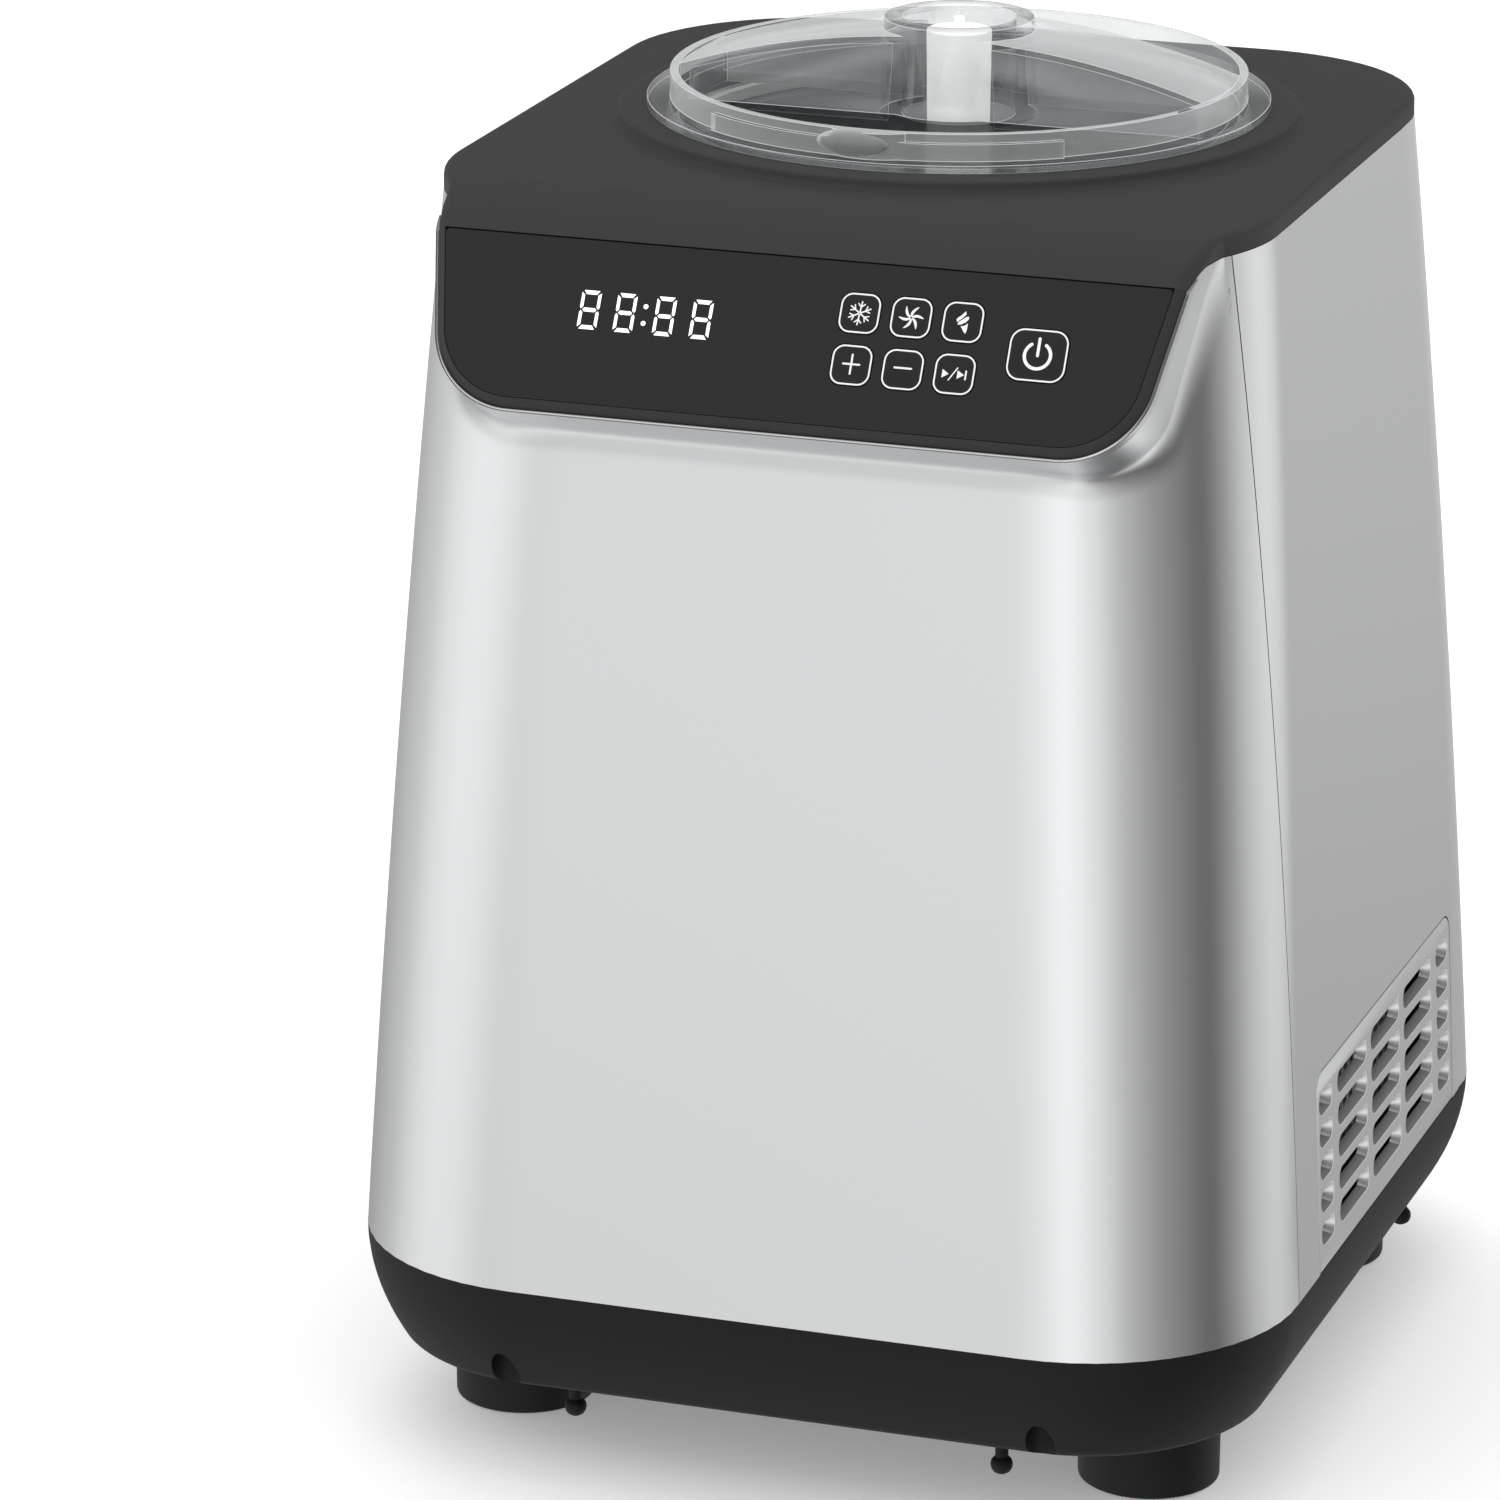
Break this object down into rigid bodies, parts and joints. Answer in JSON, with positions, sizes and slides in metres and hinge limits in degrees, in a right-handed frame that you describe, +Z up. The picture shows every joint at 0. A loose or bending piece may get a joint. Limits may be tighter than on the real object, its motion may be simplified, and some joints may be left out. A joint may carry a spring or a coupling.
{
  "type": "ice cream maker",
  "caption": "Tapered self-freezing ice cream maker with silver shells, black base and top, tilted key panel, clear twist lid, lift-out bowl and driven paddle.",
  "frame": {"origin": "on the floor under the middle of the overall box", "axes": "+Z up, -Y towards the user at the key panel, +X to the right as seen from the front"},
  "size_m": [0.2206, 0.249, 0.315],
  "materials": {
    "silver_housing": "satin metallic silver paint",
    "black_housing": "semi-gloss moulded black",
    "black_fittings": "matt black",
    "rubber": "matt black rubber",
    "silicone_seal": "translucent white silicone",
    "gloss_panel": "smooth gloss black",
    "key_cap": "gloss black with white printed outline",
    "circuit_board": "green laminate",
    "clear_lid": "clear moulded plastic",
    "anodised_bowl": "satin anodised",
    "white_paddle": "smooth white",
    "foam": "cast foam",
    "plated_steel": "zinc plated",
    "gear_plastic": "natural moulded",
    "bronze": "sintered bronze",
    "motor_steel": "plated steel can",
    "black_enamel": "black enamel",
    "copper": "drawn copper",
    "fin_aluminium": "mill finish",
    "fan_plastic": "moulded black"
  },
  "bodies": {
    "housing": {"base_screws": "black_enamel", "base_tray": "black_housing", "capillary": "copper", "chamber_gasket": "silicone_seal", "compressor": "black_enamel", "compressor_grommets": "rubber", "condenser": "fin_aluminium", "control_board": "circuit_board", "control_fascia": "gloss_panel", "cord_gland": "black_fittings", "discharge_line": "copper", "display_module": "gloss_panel", "drive_bushes": "bronze", "drive_motor": "motor_steel", "evaporator_coil": "copper", "fan_frame": "fan_plastic", "filter_drier": "copper", "foot_front_left": "black_fittings", "foot_front_right": "black_fittings", "foot_pads": "rubber", "foot_rear_left": "black_fittings", "foot_rear_right": "black_fittings", "freezing_chamber": "anodised_bowl", "front_shell": "silver_housing", "gearbox_case": "gear_plastic", "insulation": "foam", "lay_pin": "plated_steel", "liquid_line": "copper", "power_board": "circuit_board", "rear_shell": "silver_housing", "suction_line": "copper", "support_deck": "plated_steel", "top_cover": "black_housing", "vent_panel_left": "silver_housing", "vent_panel_right": "silver_housing"},
    "bowl": {"bowl": "anodised_bowl"},
    "lid_carrier": {"lid_seal": "silicone_seal"},
    "lid": {"lid": "clear_lid"},
    "paddle": {"paddle": "white_paddle"},
    "drive": {"drive_shaft": "plated_steel", "output_gear": "gear_plastic"},
    "layshaft": {"lay_gear": "gear_plastic"},
    "motor_rotor": {"motor_pinion": "gear_plastic"},
    "fan": {"fan_rotor": "fan_plastic"},
    "key_cool": {"key_cool": "key_cap"},
    "key_stir": {"key_stir": "key_cap"},
    "key_ice_cream": {"key_ice_cream": "key_cap"},
    "key_plus": {"key_plus": "key_cap"},
    "key_minus": {"key_minus": "key_cap"},
    "key_start_pause": {"key_start_pause": "key_cap"},
    "key_power": {"key_power": "key_cap"}
  },
  "joints": [
    {"name": "bowl_lift", "type": "slide", "parent": "housing", "child": "bowl", "axis": [0, 0, 1], "range_m": [0, 0.14]},
    {"name": "lid_lift", "type": "slide", "parent": "bowl", "child": "lid_carrier", "axis": [0, 0, 1], "range_m": [0, 0.06]},
    {"name": "lid_turn", "type": "hinge", "parent": "lid_carrier", "child": "lid", "pos_m": [0, 0.0142, 0.2929], "axis": [0, 0, -1], "range_deg": [0, 25]},
    {"name": "paddle_spin", "type": "hinge", "parent": "bowl", "child": "paddle", "pos_m": [0, 0.0142, 0.24], "axis": [0, 0, 1], "continuous": true},
    {"name": "drive_spin", "type": "hinge", "parent": "housing", "child": "drive", "pos_m": [0, 0.0142, 0.148], "axis": [0, 0, 1], "continuous": true},
    {"name": "layshaft_spin", "type": "hinge", "parent": "housing", "child": "layshaft", "pos_m": [0, -0.0208, 0.143], "axis": [0, 0, 1], "continuous": true},
    {"name": "motor_spin", "type": "hinge", "parent": "housing", "child": "motor_rotor", "pos_m": [-0.0315, -0.0208, 0.138], "axis": [0, 0, 1], "continuous": true},
    {"name": "fan_spin", "type": "hinge", "parent": "housing", "child": "fan", "pos_m": [0.065, 0.008, 0.068], "axis": [1, 0, 0], "continuous": true},
    {"name": "key_cool_press", "type": "slide", "parent": "housing", "child": "key_cool", "axis": [0, 0.9553, -0.2957], "range_m": [0, 0.0007], "stiffness_N_per_m": 1500},
    {"name": "key_stir_press", "type": "slide", "parent": "housing", "child": "key_stir", "axis": [0, 0.9553, -0.2957], "range_m": [0, 0.0007], "stiffness_N_per_m": 1500},
    {"name": "key_ice_cream_press", "type": "slide", "parent": "housing", "child": "key_ice_cream", "axis": [0, 0.9553, -0.2957], "range_m": [0, 0.0007], "stiffness_N_per_m": 1500},
    {"name": "key_plus_press", "type": "slide", "parent": "housing", "child": "key_plus", "axis": [0, 0.9553, -0.2957], "range_m": [0, 0.0007], "stiffness_N_per_m": 1500},
    {"name": "key_minus_press", "type": "slide", "parent": "housing", "child": "key_minus", "axis": [0, 0.9553, -0.2957], "range_m": [0, 0.0007], "stiffness_N_per_m": 1500},
    {"name": "key_start_pause_press", "type": "slide", "parent": "housing", "child": "key_start_pause", "axis": [0, 0.9553, -0.2957], "range_m": [0, 0.0007], "stiffness_N_per_m": 1500},
    {"name": "key_power_press", "type": "slide", "parent": "housing", "child": "key_power", "axis": [0, 0.9553, -0.2957], "range_m": [0, 0.0007], "stiffness_N_per_m": 1500}
  ],
  "couplings": [
    {"joint": "layshaft_spin", "follows": "drive_spin", "ratio": -4},
    {"joint": "motor_spin", "follows": "drive_spin", "ratio": 14},
    {"joint": "paddle_spin", "follows": "drive_spin", "ratio": 1}
  ]
}
